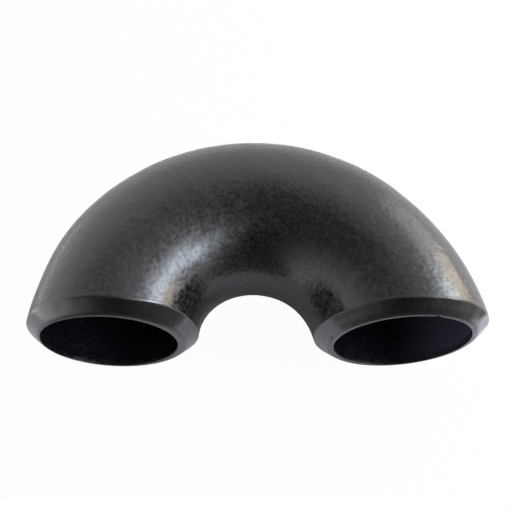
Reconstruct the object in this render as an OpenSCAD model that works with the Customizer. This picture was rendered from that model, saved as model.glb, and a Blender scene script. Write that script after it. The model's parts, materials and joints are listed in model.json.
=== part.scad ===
// Short-radius 180 degree return bend: a thick steel tube formed into a U,
// with both ends bevelled for butt welding. It lies flat, with the open ends facing -Y.

/* [Tube] */
// Outside diameter, the same along the bend and at both ends
outside_d = 60.3; // [48:0.1:76]
// Wall along the outside of the bend, where forming stretches it
outer_wall = 5.2; // [3:0.1:8]
// Wall along the inside of the bend, where forming thickens it
inner_wall = 7.4; // [3:0.1:10]

/* [Bend] */
// Distance between the centres of the two legs
centre_distance = 101.6; // [90:0.1:180]
// Straight length of each leg past the end of the bend
tangent_l = 2; // [0.5:0.1:40]

/* [Weld ends] */
// Slope of the weld bevel, measured from the plane of the end
bevel_angle = 40; // [30:0.5:45]
// Width of the flat root face at its narrowest
root_face = 0.5; // [0.2:0.1:1.5]

/* [Hidden] */
$fn = 96;

// Cuts run this far past the face that they open
cut_past = 3;

outside_r = outside_d / 2;
bend_r = centre_distance / 2;

// The bore lies off the centre of the tube, towards the thinner wall
bore_r = (outside_d - outer_wall - inner_wall) / 2;
bore_shift = (inner_wall - outer_wall) / 2;

// The bevels are turned about the outside of the tube, so the root face is a ring of uneven width
root_r = outside_r - min(outer_wall, inner_wall) + root_face;
bevel_cut_r = outside_r + cut_past;
bevel_cut_depth = (bevel_cut_r - root_r) * tan(bevel_angle);

back_to_face = tangent_l + bend_r + outside_r;

// Half ring about the bend's centre, with a straight leg on each end along -Y
module u_tube(path_r, section_r, leg_l) {
    rotate_extrude(angle = 180)
        translate([path_r, 0])
            circle(r = section_r);
    for (side = [-1, 1])
        translate([side * path_r, 0, 0])
            rotate([90, 0, 0])
                cylinder(r = section_r, h = leg_l);
}

// Ring that takes the weld bevel off a leg, with the end's plane at z = 0 and the leg above it
module bevel_cutter() {
    rotate_extrude()
        polygon([
            [root_r, 0],
            [bevel_cut_r, bevel_cut_depth],
            [bevel_cut_r, -cut_past],
            [root_r, -cut_past]
        ]);
}

// Formed tube with its off-centre bore, cut square at the ends and bevelled
module return_bend() {
    color([0.13, 0.13, 0.14])
        translate([0, tangent_l - back_to_face / 2, outside_r])
            difference() {
                u_tube(bend_r, outside_r, tangent_l);
                u_tube(bend_r + bore_shift, bore_r, tangent_l + cut_past);
                for (side = [-1, 1])
                    translate([side * bend_r, -tangent_l, 0])
                        rotate([-90, 0, 0])
                            bevel_cutter();
            }
}

return_bend();
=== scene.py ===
import json
import math

import bpy
import numpy as np
from mathutils import Matrix, Vector


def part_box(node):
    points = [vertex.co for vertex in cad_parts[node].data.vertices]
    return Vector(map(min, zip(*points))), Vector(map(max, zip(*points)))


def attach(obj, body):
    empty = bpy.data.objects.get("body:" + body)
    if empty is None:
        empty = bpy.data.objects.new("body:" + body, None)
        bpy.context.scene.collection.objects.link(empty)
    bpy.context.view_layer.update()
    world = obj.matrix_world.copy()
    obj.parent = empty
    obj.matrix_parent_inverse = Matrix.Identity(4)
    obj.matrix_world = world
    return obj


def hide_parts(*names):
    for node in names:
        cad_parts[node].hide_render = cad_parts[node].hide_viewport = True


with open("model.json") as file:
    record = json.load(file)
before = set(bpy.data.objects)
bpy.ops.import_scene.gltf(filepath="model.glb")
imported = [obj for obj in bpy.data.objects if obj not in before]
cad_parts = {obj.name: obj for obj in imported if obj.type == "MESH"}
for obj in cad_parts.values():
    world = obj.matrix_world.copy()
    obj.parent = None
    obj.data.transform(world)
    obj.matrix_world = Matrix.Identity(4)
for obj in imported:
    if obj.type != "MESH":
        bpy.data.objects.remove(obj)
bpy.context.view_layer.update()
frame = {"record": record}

mm = 0.001
bpy.context.scene.view_settings.view_transform = "Standard"

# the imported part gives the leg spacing, the plane of the weld ends and the tube's radius
boxLow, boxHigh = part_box("return_bend")
boxCentre = (boxLow + boxHigh) / 2
weldEnd = next(mount for mount in frame["record"]["mounts"] if mount["name"] == "right_weld_end")
bendRadius, faceY, midZ = weldEnd["pos_m"]
outsideRadius = (boxHigh.z - boxLow.z) / 2
tangentLength = boxHigh.y - faceY - bendRadius - outsideRadius
bendY = faceY + tangentLength
pathLength = 2 * tangentLength + math.pi * bendRadius
print("frame loaded, tube radius", round(outsideRadius / mm, 2), "mm")

tubeShape = {
    "outerWall": 5.2 * mm,            # wall along the outside of the bend
    "innerWall": 7.4 * mm,            # wall along the inside of the bend
    "bevelAngle": math.radians(40),   # from the plane of the end
    "rootFace": 0.5 * mm,             # root face at its narrowest
    "softRight": 0.30 * mm,           # rounded edge between skin and bevel, right leg: its set-back
    "softLeft": 0.60 * mm,            # the same on the left leg
    "sharperOutside": 0.75,           # share of softLeft lost towards the outside of the bend
    "softBevel": 2.20 * mm,           # rounded edge between bevel and root face: set-back on the bevel
    "softRoot": 0.80 * mm,            # its set-back on the root face
    "softRootShare": 0.65,            # but no more than this share of the root face's width
    "softRim": 0.25 * mm,             # rounded edge of the bore's mouth: its set-back
    "softRimShare": 0.30,             # but no more than this share of the root face's width
    "raggedSeed": 17,
    "raggedWaves": (4, 32),           # waves round the leg, from and up to
    "raggedRight": 0.08 * mm,         # unevenness of the edge between skin and bevel
    "raggedLeft": 0.03 * mm,
    "longerLeft": 1.2 * mm,           # the left bevel runs further back on the inside of the bend
    "longerAngle": 137,               # degrees round the tube, from the outside of the bend over its top
    "longerWidth": 20,                # degrees
    "coatOnRoot": 0.1,                # share of the bevel's coat that reaches the root face
    "shoulderSteps": 12,              # repeats that settle where the skin meets the bevel
    "columns": 288,
    "skinRings": 216,
    "boreRings": 72,
    "bevelRings": 7,
    "rootRings": 3,
    "edgeRings": 5,
}
boreRadius = outsideRadius - (tubeShape["outerWall"] + tubeShape["innerWall"]) / 2
boreShift = (tubeShape["innerWall"] - tubeShape["outerWall"]) / 2
rootRadius = outsideRadius - tubeShape["outerWall"] + tubeShape["rootFace"]


# U-shaped path from the right end to the left: a straight leg, a half circle and a straight leg
# a tube about it: path point + (shift + radius * cos) along the outward direction + radius * sin upwards
def tubePoints(along, angle, radius, shift=0.0):
    turn = np.clip((along - tangentLength) / bendRadius, 0, np.pi)
    straight = np.maximum(tangentLength - along, 0) + np.maximum(along - pathLength + tangentLength, 0)
    reach = bendRadius + shift + radius * np.cos(angle)
    x = reach * np.cos(turn)
    y = bendY + reach * np.sin(turn) - straight
    z = midZ + radius * np.sin(angle) + 0 * along
    return np.stack(np.broadcast_arrays(x, y, z), axis=-1)


# distance along the path where the skin meets the bevel cone,
# on which depth = (distance from the leg's axis - root radius) * slope
def shoulderAlong(angle):
    slope = math.tan(tubeShape["bevelAngle"])
    reach = bendRadius + outsideRadius * np.cos(angle)
    depth = np.full_like(angle, (outsideRadius - rootRadius) * slope)
    for _ in range(tubeShape["shoulderSteps"]):
        inBend = np.arcsin(np.maximum(depth - tangentLength, 0) / reach)
        along = np.minimum(depth, tangentLength) + bendRadius * inBend
        point = tubePoints(along, angle, outsideRadius)
        depth = (np.hypot(point[:, 0] - bendRadius, point[:, 2] - midZ) - rootRadius) * slope
    return along


# uneven edge between skin and bevel: a sum of sine waves round the leg, and on the left leg
# also longer * exp(-((angle - place) / width)^2); side is 1 for the right leg, -1 for the left
def raggedEdge(angle, side):
    rng = np.random.default_rng(tubeShape["raggedSeed"] + side)
    waves = np.arange(*tubeShape["raggedWaves"])
    phases = rng.uniform(0, 2 * np.pi, len(waves))
    height = tubeShape["raggedRight"] if side > 0 else tubeShape["raggedLeft"]
    swing = np.sin(np.outer(angle, waves) + phases).sum(axis=1)
    uneven = height * swing / math.sqrt(len(waves) / 2)
    if side > 0:
        return uneven
    offPlace = (np.degrees(angle) - tubeShape["longerAngle"]) / tubeShape["longerWidth"]
    return uneven + tubeShape["longerLeft"] * np.exp(-offPlace ** 2)


# set-back of the rounded edge between skin and bevel round the leg: even on the right leg,
# on the left leg soft * (1 - share * cos) on the outside of the bend
def shoulderSoftness(angle, side):
    if side > 0:
        return np.full_like(angle, tubeShape["softRight"])
    return tubeShape["softLeft"] * (1 - tubeShape["sharperOutside"] * np.maximum(np.cos(angle), 0))


# point set back from a corner towards another point, by a length
def setBack(corner, towards, length):
    step = towards - corner
    return corner + step * (length / np.linalg.norm(step, axis=-1, keepdims=True))


# rounded edge: the parabola (1-t)^2 * before + 2t(1-t) * corner + t^2 * after
def roundedEdge(before, corner, after):
    t = np.linspace(0, 1, tubeShape["edgeRings"])[:, None, None]
    return (1 - t) ** 2 * before + 2 * t * (1 - t) * corner + t ** 2 * after


# straight rings between two edges, without the edges themselves
def between(start, end, count):
    t = np.linspace(0, 1, count + 2)[1:-1, None, None]
    return start + (end - start) * t


# rings over one weld end, from the skin across bevel and root face into the bore, x mirrored for side -1
# with each ring's share of the bevel's coat and of the skin's drift
def endRings(angle, side):
    soft = shoulderSoftness(angle, side)
    rim = tubeShape["softRim"]
    along = shoulderAlong(angle) + raggedEdge(angle, side)
    shoulder = tubePoints(along, angle, outsideRadius)
    legAngle = np.arctan2(shoulder[:, 2] - midZ, shoulder[:, 0] - bendRadius)
    rootEdge = np.stack([bendRadius + rootRadius * np.cos(legAngle),
                         np.full_like(angle, faceY),
                         midZ + rootRadius * np.sin(legAngle)], axis=-1)
    mouth = tubePoints(np.zeros_like(angle), angle, boreRadius, boreShift)
    faceWidth = np.linalg.norm(rootEdge - mouth, axis=-1, keepdims=True)
    onRoot = np.minimum(tubeShape["softRoot"], tubeShape["softRootShare"] * faceWidth)
    onRim = np.minimum(rim, tubeShape["softRimShare"] * faceWidth)
    skinEdge = roundedEdge(tubePoints(along + soft, angle, outsideRadius), shoulder,
                           setBack(shoulder, rootEdge, soft[:, None]))
    outerRim = roundedEdge(setBack(rootEdge, shoulder, tubeShape["softBevel"]), rootEdge,
                           setBack(rootEdge, mouth, onRoot))
    innerRim = roundedEdge(setBack(mouth, rootEdge, onRim), mouth,
                           tubePoints(np.full_like(angle, rim), angle, boreRadius, boreShift))
    bevel = between(skinEdge[-1], outerRim[0], tubeShape["bevelRings"])
    rootFace = between(outerRim[-1], innerRim[0], tubeShape["rootRings"])
    rings = np.concatenate([skinEdge, bevel, outerRim, rootFace, innerRim])
    rings[..., 0] *= side
    edge = tubeShape["edgeRings"]
    coatStart = edge - 2 if side > 0 else 1   # on the left leg the coat runs up the rounded edge
    coatEnd = edge + len(bevel) + 2           # it thins out on the rounded edge of the root face
    bevelMask = np.zeros(len(rings))
    bevelMask[coatStart:] = tubeShape["coatOnRoot"]
    bevelMask[coatStart:coatEnd] = 1
    bevelMask[-3:] = 0                        # none on the bore's mouth
    fadeFrom, fadeTo = len(rings) - 2 * edge, len(rings) - edge
    outsideMask = np.interp(np.arange(len(rings)), [fadeFrom, fadeTo], [1, 0])
    return rings, bevelMask, outsideMask


# the whole bend as one closed grid: skin right to left, left end, bore left to right,
# right end back to the skin; the masks hold one value for each ring
def bendGrid():
    angle = np.linspace(0, 2 * np.pi, tubeShape["columns"], endpoint=False)
    start = shoulderAlong(angle)
    startRight = start + raggedEdge(angle, 1) + shoulderSoftness(angle, 1)
    startLeft = start + raggedEdge(angle, -1) + shoulderSoftness(angle, -1)
    share = np.linspace(0, 1, tubeShape["skinRings"] + 2)[1:-1, None]
    skinAlong = startRight + share * (pathLength - startRight - startLeft)
    skin = tubePoints(skinAlong, angle[None, :], outsideRadius)
    share = np.linspace(0, 1, tubeShape["boreRings"] + 2)[1:-1, None]
    inset = tubeShape["softRim"]
    boreAlong = pathLength - inset - share * (pathLength - 2 * inset)
    bore = tubePoints(boreAlong, angle[None, :], boreRadius, boreShift)
    leftEnd, leftBevel, outside = endRings(angle, -1)
    rightEnd, rightBevel, outside = endRings(angle, 1)
    rings = np.concatenate([skin, leftEnd, bore, rightEnd[::-1]])

    def ringMask(onSkin, onLeft, onBore, onRight):
        return np.concatenate([np.full(len(skin), onSkin), onLeft,
                               np.full(len(bore), onBore), onRight[::-1]])

    noEnd = np.zeros(len(leftEnd))
    masks = {
        "skin": ringMask(1.0, noEnd, 0.0, noEnd),
        "bore": ringMask(0.0, noEnd, 1.0, noEnd),
        "bevel": ringMask(0.0, leftBevel, 0.0, rightBevel),
    }
    return rings, masks, ringMask(1.0, outside, 0.0, outside)


# outward direction at each grid point: cross product of the two grid differences
def gridNormals(grid):
    du = np.roll(grid, -1, 0) - np.roll(grid, 1, 0)
    dv = np.roll(grid, -1, 1) - np.roll(grid, 1, 1)
    normal = np.cross(du, dv)
    return normal / np.linalg.norm(normal, axis=-1, keepdims=True)


formingWaves = {
    "seed": 41,
    "count": 40,
    "shortest": 5 * mm,
    "longest": 34 * mm,
    "slope": 0.0042,      # steepness of each wave
    "fadeRings": 9,       # rings over which the waves die out at the weld ends
}


# uneven hot-formed skin: a sum of plane sine waves in random directions,
# each with height slope * length / 2pi
def waveHeight(points):
    rng = np.random.default_rng(formingWaves["seed"])
    height = np.zeros(points.shape[:-1])
    lengths = np.geomspace(formingWaves["shortest"], formingWaves["longest"], formingWaves["count"])
    for length in lengths:
        heading = rng.normal(size=3)
        heading /= np.linalg.norm(heading)
        phase = rng.uniform(0, 2 * np.pi)
        swing = np.sin(points @ heading * 2 * np.pi / length + phase)
        height += formingWaves["slope"] * length / (2 * np.pi) * swing
    return height


# ring weights smoothed over a few neighbours, so that the waves fade out towards the ends
def fadedMask(mask, rings):
    inner = np.copy(mask)
    for _ in range(rings):
        inner = np.minimum(inner, np.minimum(np.roll(inner, 1), np.roll(inner, -1)))
    window = np.hanning(2 * rings + 3)[1:-1]
    wide = np.concatenate([inner[-rings:], inner, inner[:rings]])
    return np.convolve(wide, window / window.sum(), mode="valid")


# turn and width in degrees round the bend from the right end; inside: share on the inside of the bend
formingDrift = {
    "rightEnd": {"turn": 0, "width": 10, "size": 1.0 * mm, "inside": 1.0},
    "rightShoulder": {"turn": 36, "width": 15, "size": -0.75 * mm, "inside": 0.0},
    "leftEnd": {"turn": 169, "width": 10, "size": -0.6 * mm, "inside": 0.0},
}
driftRise = 1.2   # height in tube radii, from the bottom of the tube, where the drift is full


# a formed skin strays from the true half circle: outward shift =
# sum of size * exp(-((turn - place) / width)^2), times a smooth step 3t^2 - 2t^3
# from the bottom of the tube to just above its middle
def outwardDrift(points):
    x, y = points[..., 0], np.maximum(points[..., 1] - bendY, 0)
    turn = np.arctan2(y, x)
    inside = (1 - np.clip((np.hypot(x, y) - bendRadius) / outsideRadius, -1, 1)) / 2
    height = np.clip((points[..., 2] - midZ + outsideRadius) / (driftRise * outsideRadius), 0, 1)
    above = 3 * height ** 2 - 2 * height ** 3
    shift = np.zeros_like(turn)
    for drift in formingDrift.values():
        share = above * (1 - (1 - drift["inside"]) * inside)
        shift += drift["size"] * share * np.exp(-((np.degrees(turn) - drift["turn"]) / drift["width"]) ** 2)
    return shift[..., None] * np.stack([np.cos(turn), np.sin(turn), 0 * turn], axis=-1)


# angle in degrees and radius about the right leg; behind: how far behind the plane of the end
rimMarks = {
    "nick": {"angle": 75, "radius": 24.1 * mm, "behind": 0.0, "size": 0.7 * mm, "depth": 0.65 * mm},
    "pit": {"angle": 169.5, "radius": 25.0 * mm, "behind": 0.45 * mm, "size": 0.6 * mm, "depth": 0.25 * mm},
}


# place of a mark in the right end, from its angle and radius about the leg
def markPlace(mark):
    angle = math.radians(mark["angle"])
    return (bendRadius + mark["radius"] * math.cos(angle), faceY + mark["behind"],
            midZ + mark["radius"] * math.sin(angle))


# depth of the marks: each is depth * exp(-(distance / size)^2) about its place
def markDepth(points):
    depth = np.zeros(points.shape[:-1])
    for mark in rimMarks.values():
        distance = np.linalg.norm(points - np.array(markPlace(mark)), axis=-1)
        depth += mark["depth"] * np.exp(-(distance / mark["size"]) ** 2)
    return depth


# closed mesh of four-sided faces over a grid that wraps round both ways, with ring values as attributes
def makeMesh(name, grid, attributes):
    rows, columns = grid.shape[:2]
    i, j = np.meshgrid(np.arange(rows), np.arange(columns), indexing="ij")
    nextI, nextJ = (i + 1) % rows, (j + 1) % columns
    quads = np.stack([i * columns + j, nextI * columns + j,
                      nextI * columns + nextJ, i * columns + nextJ], axis=-1)
    mesh = bpy.data.meshes.new(name)
    mesh.from_pydata(grid.reshape(-1, 3).tolist(), [], quads.reshape(-1, 4).tolist())
    mesh.polygons.foreach_set("use_smooth", np.ones(len(mesh.polygons), dtype=bool))
    for key, ringValues in attributes.items():
        layer = mesh.attributes.new(key, "FLOAT", "POINT")
        layer.data.foreach_set("value", np.repeat(ringValues, columns).astype(np.float32))
    mesh.update()
    piece = bpy.data.objects.new(name, mesh)
    bpy.context.scene.collection.objects.link(piece)
    return piece


grid, masks, outsideMask = bendGrid()
fadeRings = formingWaves["fadeRings"]
waveMask = fadedMask(masks["skin"], fadeRings) + fadedMask(masks["bore"], fadeRings)
grid = grid + outwardDrift(grid) * outsideMask[:, None, None]
grid = grid + gridNormals(grid) * (waveHeight(grid) * waveMask[:, None] - markDepth(grid))[..., None]
bend = makeMesh("returnBend", grid, masks)
print("bend surface made,", len(bend.data.polygons), "faces")


# a socket that takes part in sums: each operator adds a Math node to the socket's tree
class Wire:
    def __init__(self, shader, socket):
        self.shader = shader
        self.socket = socket

    def math(self, operation, first, second=0.0):
        return self.shader.node("ShaderNodeMath", {"operation": operation}, {0: first, 1: second})

    def __add__(self, other):
        return self.math("ADD", self, other)

    def __radd__(self, other):
        return self.math("ADD", other, self)

    def __sub__(self, other):
        return self.math("SUBTRACT", self, other)

    def __rsub__(self, other):
        return self.math("SUBTRACT", other, self)

    def __mul__(self, other):
        return self.math("MULTIPLY", self, other)

    def __rmul__(self, other):
        return self.math("MULTIPLY", other, self)

    def top(self, other):
        return self.math("MAXIMUM", self, other)


# one node tree; node() adds any node from its type, settings and socket values
class Shader:
    def __init__(self, tree):
        self.tree = tree
        tree.nodes.clear()

    def node(self, kind, settings=None, sockets=None, output=0):
        made = self.tree.nodes.new(kind)
        for key, value in (settings or {}).items():
            setattr(made, key, value)
        for key, value in (sockets or {}).items():
            if isinstance(value, Wire):
                self.tree.links.new(value.socket, made.inputs[key])
            else:
                made.inputs[key].default_value = value
        return Wire(self, made.outputs[output]) if len(made.outputs) else None

    # smooth step 3t^2 - 2t^3 from low to high while a value goes from start to end
    def smoothStep(self, value, start, end, low=0.0, high=1.0):
        return self.node("ShaderNodeMapRange", {"interpolation_type": "SMOOTHSTEP"},
                         {"Value": value, "From Min": start, "From Max": end,
                          "To Min": low, "To Max": high})


blackPaint = {
    "colour": (0.0114, 0.0108, 0.0106, 1.0),
    "darkColour": (0.0054, 0.0051, 0.0050, 1.0),   # the darker patches
    "endColour": (0.0035, 0.0035, 0.0037, 1.0),    # on the machined weld ends
    "boreColour": (0.0085, 0.0100, 0.0145, 1.0),
    "boreDark": (0.0042, 0.0050, 0.0072, 1.0),     # the darker patches in the bore, and the painted shade in the pit
    "bareColour": (0.0700, 0.0710, 0.1050, 1.0),   # painted light: lighter bluish colour inside the right leg, on its outer wall, where light from the front left reaches in
    "bareFrom": 54 * mm,      # along X
    "bareTo": 78 * mm,
    "ior": 1.68,
    "roughness": 0.25,
    "roughnessSpread": 0.62,
    "leastRoughness": 0.13,
    "endRoughness": -0.04,    # added on the weld ends
    "rootRoughness": 0.20,    # added on the root faces
    "boreRoughness": -0.10,   # added inside the tube
    "bevelCoat": 0.9,         # the coat lies thick and smooth on the machined bevels
    "bevelCoatRoughness": 0.17,
    "bevelCoatIor": 1.6,
    "rootCoat": 0.6,          # coat on the root faces, at the sides of each leg
    "pitDarkness": 0.8,       # share of painted shade in the pit
    "pitFull": 0.5,           # in sizes of the pit: painted shade full up to here
    "pitGone": 1.5,           # and no longer from here
    "peelSize": 2.4,          # mm, broad unevenness of the coat
    "peelDepth": 0.00008,     # metres of bump
    "grainSize": 1.3,         # mm, blasted grain under the coat
    "grainDepth": 0.00005,
    "bumpOffSkin": 0.35,      # share of that unevenness on the ends and in the bore
    "turnedSize": 5.0,        # mm, unevenness of the machined ends
    "turnedDepth": 0.00014,
    "speckSize": 1.3,         # mm, specks of colour and gloss
    "speckShare": 0.8,
    "mottleSize": 9.0,        # mm, patches of colour and gloss
    "mottleShare": 0.2,
    "mottleMiddle": 0.5,      # mean of specks and patches together
    "patchDark": 0.38,        # the colour is darkest below this
    "patchLight": 0.62,       # and lightest above this
}


# satin black paint over blasted steel: two sizes of noise in the bump, specks of colour and gloss
def makeBlackPaint():
    material = bpy.data.materials.new("satinBlackPaint")
    material.use_nodes = True
    paint = Shader(material.node_tree)
    where = paint.node("ShaderNodeTexCoord", output="Object")

    def ringValue(name):
        return paint.node("ShaderNodeAttribute", {"attribute_name": name}, output="Fac")

    def noise(size, detail):
        return paint.node("ShaderNodeTexNoise", None,
                          {"Vector": where, "Scale": 1 / (size * mm), "Detail": detail})

    # sockets 6 and 7 are the colours of a Mix node, output 2 is their blend
    def blend(share, first, second):
        return paint.node("ShaderNodeMix", {"data_type": "RGBA"},
                          {"Factor": share, 6: first, 7: second}, output=2)

    skin = ringValue("skin")
    bore = ringValue("bore")
    bevel = ringValue("bevel")
    ends = (1 - skin) * (1 - bore)
    root = ends * (1 - bevel)

    # bump: grain and peel all over, weaker off the skin, and the turned ends' own unevenness
    uneven = (blackPaint["peelDepth"] * noise(blackPaint["peelSize"], detail=0.0)
              + blackPaint["grainDepth"] * noise(blackPaint["grainSize"], detail=0.0))
    turned = blackPaint["turnedDepth"] * noise(blackPaint["turnedSize"], detail=1.0)
    offSkin = blackPaint["bumpOffSkin"]
    height = uneven * (offSkin + (1 - offSkin) * skin) + turned * ends
    bump = paint.node("ShaderNodeBump", None, {"Height": height, "Distance": 1.0, "Strength": 1.0},
                      output="Normal")

    # colour: dark and light patches, plain ends, the bore's own paint, and painted light on the outer wall
    # inside the right leg
    mottle = (blackPaint["mottleShare"] * noise(blackPaint["mottleSize"], detail=2.0)
              + blackPaint["speckShare"] * noise(blackPaint["speckSize"], detail=1.0))
    patches = paint.smoothStep(mottle, blackPaint["patchDark"], blackPaint["patchLight"])
    along = paint.node("ShaderNodeSeparateXYZ", None, {"Vector": where}, output="X")
    # painted light: lighter towards +X inside the right leg, standing in for light from the front left
    paintedBoreLightShare = paint.smoothStep(along, blackPaint["bareFrom"], blackPaint["bareTo"])
    painted = blend(patches, blackPaint["darkColour"], blackPaint["colour"])
    outside = blend(ends, painted, blackPaint["endColour"])
    inside = blend(patches, blackPaint["boreDark"], blackPaint["boreColour"])
    colour = blend(bore, outside, blend(paintedBoreLightShare, inside, blackPaint["bareColour"]))

    rough = (blackPaint["roughness"] + blackPaint["roughnessSpread"] * (mottle - blackPaint["mottleMiddle"])
             + blackPaint["endRoughness"] * ends + blackPaint["rootRoughness"] * root
             + blackPaint["boreRoughness"] * bore)

    # painted shade in the pit: dark base colour and metallic, and no coat there
    pit = rimMarks["pit"]
    distance = paint.node("ShaderNodeVectorMath", {"operation": "DISTANCE"},
                          {0: where, 1: markPlace(pit)}, output="Value")
    pitStart = blackPaint["pitFull"] * pit["size"]
    pitEnd = blackPaint["pitGone"] * pit["size"]
    # painted shade: full in the middle of the pit, fading out towards its edge
    paintedPitShade = paint.smoothStep(distance, pitStart, pitEnd, blackPaint["pitDarkness"], 0.0)
    up = paint.node("ShaderNodeSeparateXYZ", None, {"Vector": where}, output="Z")
    offMiddle = (up - midZ) * (1 / rootRadius)
    flank = 1 - offMiddle * offMiddle   # 1 at the sides of a leg, 0 at its top and bottom
    coat = (blackPaint["bevelCoat"] * bevel + blackPaint["rootCoat"] * root * flank) * (1 - paintedPitShade)

    surface = paint.node("ShaderNodeBsdfPrincipled", None,
                         {"Base Color": blend(paintedPitShade, colour, blackPaint["boreDark"]),
                          "Metallic": paintedPitShade,
                          "Roughness": rough.top(blackPaint["leastRoughness"]),
                          "Normal": bump,
                          "IOR": blackPaint["ior"],
                          "Coat Weight": coat,
                          "Coat Roughness": blackPaint["bevelCoatRoughness"],
                          "Coat IOR": blackPaint["bevelCoatIor"]})
    paint.node("ShaderNodeOutputMaterial", None, {"Surface": surface})
    return material


bend.data.materials.append(makeBlackPaint())
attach(bend, "root")
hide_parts("return_bend")
print("paint made")

plainWhite = (1.0, 1.0, 1.0, 1.0)
floorLook = {
    "width": 0.34,
    "near": -0.09,           # its front and back edges along Y
    "far": 0.21,
    "colour": (0.80, 0.77, 0.80, 1.0),
    "seenWhite": 0.97,       # share of plain white in what the camera sees
    "mirroredWhite": 0.06,   # share of plain white in what the paint reflects
}


# share of a plain white backdrop, by the kind of ray that sees it
def whiteShare(shader, seen, mirrored):
    camera = shader.node("ShaderNodeLightPath", output="Is Camera Ray")
    through = shader.node("ShaderNodeLightPath", output="Is Transmission Ray")
    glossy = shader.node("ShaderNodeLightPath", output="Is Glossy Ray")
    return seen * camera.top(through) + mirrored * glossy


# pale floor under the part: a flat rectangle that keeps the part's shadow
def makeFloor():
    half, near, far = floorLook["width"] / 2, floorLook["near"], floorLook["far"]
    corners = [(-half, near, 0), (half, near, 0), (half, far, 0), (-half, far, 0)]
    mesh = bpy.data.meshes.new("floor")
    mesh.from_pydata(corners, [], [(0, 1, 2, 3)])
    floor = bpy.data.objects.new("floor", mesh)
    bpy.context.scene.collection.objects.link(floor)
    material = bpy.data.materials.new("paleFloor")
    material.use_nodes = True
    pale = Shader(material.node_tree)
    matt = pale.node("ShaderNodeBsdfDiffuse", None, {"Color": floorLook["colour"]})
    white = pale.node("ShaderNodeEmission", None, {"Color": plainWhite, "Strength": 1.0})
    share = whiteShare(pale, floorLook["seenWhite"], floorLook["mirroredWhite"])
    surface = pale.node("ShaderNodeMixShader", None, {0: share, 1: matt, 2: white})
    pale.node("ShaderNodeOutputMaterial", None, {"Surface": surface})
    mesh.materials.append(material)


# unit vector from an azimuth, counted from +Y towards +X, and an elevation, both in degrees
def direction(azimuth, elevation):
    a, e = math.radians(azimuth), math.radians(elevation)
    return Vector((math.sin(a) * math.cos(e), math.cos(a) * math.cos(e), math.sin(e)))


# the darker directions: least brightness up to dark degrees away from the middle, full from bright degrees
roomLight = {
    "level": 1.20,
    "colour": (1.0, 0.955, 0.992, 1.0),
    "front": {"azimuth": 178, "elevation": 24, "dark": 2, "bright": 79, "least": 0.0},    # by the lens
    "top": {"azimuth": -124, "elevation": 71, "dark": 15, "bright": 72, "least": 0.13},   # ceiling
    "low": {"azimuth": 165, "elevation": -37, "dark": 42, "bright": 65, "least": 0.21},   # below the lens
    "back": {"azimuth": 5, "elevation": 8, "dark": 5, "bright": 60, "least": 0.84},       # behind the part
    "mirroredWhite": 0.02,
}


# soft light from all round: level * the growth of brightness away from each of the four darker directions
def makeRoomLight():
    world = bpy.data.worlds.new("roomLight")
    bpy.context.scene.world = world
    world.use_nodes = True
    room = Shader(world.node_tree)
    ray = room.node("ShaderNodeTexCoord", output="Generated")

    # smooth step from the least brightness to 1 over the angle from a darker direction
    def awayFrom(unlit):
        middle = direction(unlit["azimuth"], unlit["elevation"])
        facing = room.node("ShaderNodeVectorMath", {"operation": "DOT_PRODUCT"}, {0: ray, 1: middle},
                           output="Value")
        angle = room.node("ShaderNodeMath", {"operation": "ARCCOSINE"}, {0: facing})
        dark, bright = math.radians(unlit["dark"]), math.radians(unlit["bright"])
        return room.smoothStep(angle, dark, bright, unlit["least"], 1.0)

    level = roomLight["level"] * awayFrom(roomLight["front"]) * awayFrom(roomLight["top"])
    level = level * awayFrom(roomLight["low"]) * awayFrom(roomLight["back"])
    soft = room.node("ShaderNodeBackground", None, {"Color": roomLight["colour"], "Strength": level})
    white = room.node("ShaderNodeBackground", None, {"Color": plainWhite, "Strength": 1.0})
    share = whiteShare(room, 1.0, roomLight["mirroredWhite"])
    surface = room.node("ShaderNodeMixShader", None, {0: share, 1: soft, 2: white})
    room.node("ShaderNodeOutputWorld", None, {"Surface": surface})


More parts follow.
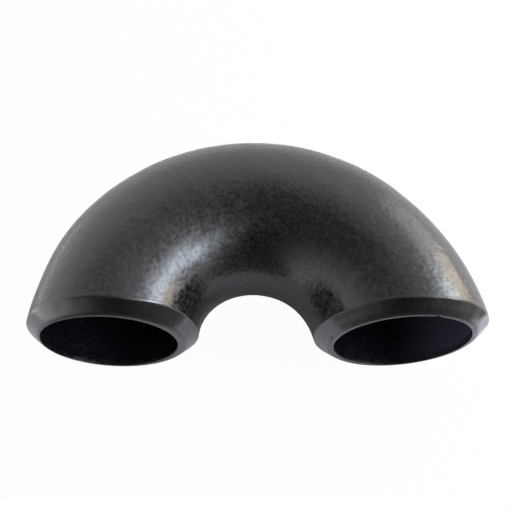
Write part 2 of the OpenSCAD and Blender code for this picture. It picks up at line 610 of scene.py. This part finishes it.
lamps = {
    "coolWindow": {"azimuth": 92.5, "elevation": 32, "distance": 1.0, "width": 1.12, "height": 0.34,
                   "radiance": 6.0, "colour": (0.72, 0.86, 1.0)},
    "windowEdge": {"azimuth": 99, "elevation": 38, "distance": 1.1, "width": 1.60, "height": 0.62,
                   "radiance": 1.5, "colour": (0.84, 0.91, 1.0)},
    "windowGlow": {"azimuth": 118, "elevation": 44, "distance": 1.2, "width": 1.7, "height": 0.80,
                   "radiance": 0.25, "colour": (0.86, 0.92, 1.0)},
    "warmWindow": {"azimuth": 72, "elevation": 12, "distance": 1.0, "width": 0.62, "height": 0.40,
                   "radiance": 3.4, "colour": (1.0, 0.82, 0.56)},
    "sideWall": {"azimuth": 50, "elevation": 18, "distance": 1.0, "width": 0.36, "height": 0.55,
                 "radiance": 1.3, "colour": (0.97, 0.95, 1.0)},
    "leftWall": {"azimuth": -78, "elevation": -32, "distance": 1.0, "width": 1.5, "height": 0.50,
                 "radiance": 0.98, "colour": (1.0, 0.95, 0.99)},
}


# area lamp facing the part; watts = radiance * pi * area
def addLamp(name, look):
    light = bpy.data.lights.new(name, "AREA")
    light.shape = "RECTANGLE"
    light.size = look["width"]
    light.size_y = look["height"]
    light.energy = look["radiance"] * math.pi * look["width"] * look["height"]
    light.color = look["colour"]
    lamp = bpy.data.objects.new(name, light)
    away = direction(look["azimuth"], look["elevation"])
    lamp.location = boxCentre + away * look["distance"]
    lamp.rotation_euler = away.to_track_quat("Z", "Y").to_euler()
    bpy.context.scene.collection.objects.link(lamp)


cameraLook = {
    "azimuth": -2.08,        # degrees, 0 looks along +Y
    "elevation": 62.48,
    "roll": 1.85,
    "distance": 200.7 * mm,
    "aim": Vector((-7.914, -16.658, 0.0)) * mm,   # from the centre of the part's box
    "lens": 37.32,           # mm, for the sensor below
    "sensor": 36.0,
    "shift": (0.0438, 0.0505),
    "nearest": 10 * mm,      # closest distance that it sees
}


# the camera's axes: back along the view, right level with the floor, both turned by the roll
def makeCamera():
    a, e, roll = (math.radians(cameraLook[key]) for key in ("azimuth", "elevation", "roll"))
    back = Vector((math.sin(a) * math.cos(e), -math.cos(a) * math.cos(e), math.sin(e)))
    level = (-back).cross(Vector((0, 0, 1))).normalized()
    upright = level.cross(-back)
    right = level * math.cos(roll) + upright * math.sin(roll)
    up = upright * math.cos(roll) - level * math.sin(roll)
    data = bpy.data.cameras.new("camera")
    data.sensor_width = cameraLook["sensor"]
    data.lens = cameraLook["lens"]
    data.shift_x, data.shift_y = cameraLook["shift"]
    data.clip_start = cameraLook["nearest"]
    camera = bpy.data.objects.new("camera", data)
    place = boxCentre + cameraLook["aim"] + back * cameraLook["distance"]
    camera.matrix_world = Matrix.Translation(place) @ Matrix((right, up, back)).transposed().to_4x4()
    bpy.context.scene.collection.objects.link(camera)
    bpy.context.scene.camera = camera


makeFloor()
makeRoomLight()
for name, look in lamps.items():
    addLamp(name, look)
makeCamera()
print("floor, light and camera made")
